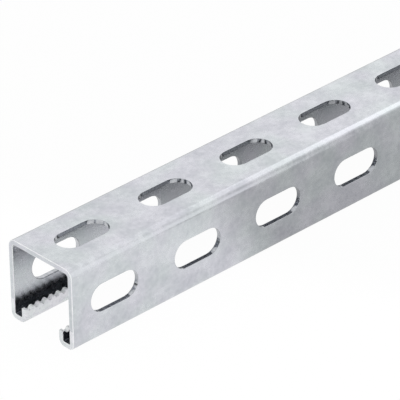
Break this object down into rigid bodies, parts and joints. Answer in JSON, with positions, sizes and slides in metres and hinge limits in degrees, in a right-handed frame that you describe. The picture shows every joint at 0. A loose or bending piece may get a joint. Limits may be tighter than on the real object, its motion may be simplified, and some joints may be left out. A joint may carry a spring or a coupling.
{
  "type": "slotted strut channel",
  "caption": "Cold-formed steel strut channel with slots in web and both sides and toothed in-turned lips, for bolting up frames, pipe supports and cable runs.",
  "frame": {"origin": "middle of the length and width, on the plane of the lips' bottoms", "axes": "+X along the channel, +Z from the open side to the web's outer face, +Y across to one flange"},
  "size_m": [0.5, 0.041, 0.041],
  "materials": {
    "galvanised_steel": "hot-dip galvanised, pale grey with soft cloudy mottling, half matt"
  },
  "bodies": {
    "root": {"strut_channel": "galvanised_steel"}
  },
  "joints": []
}
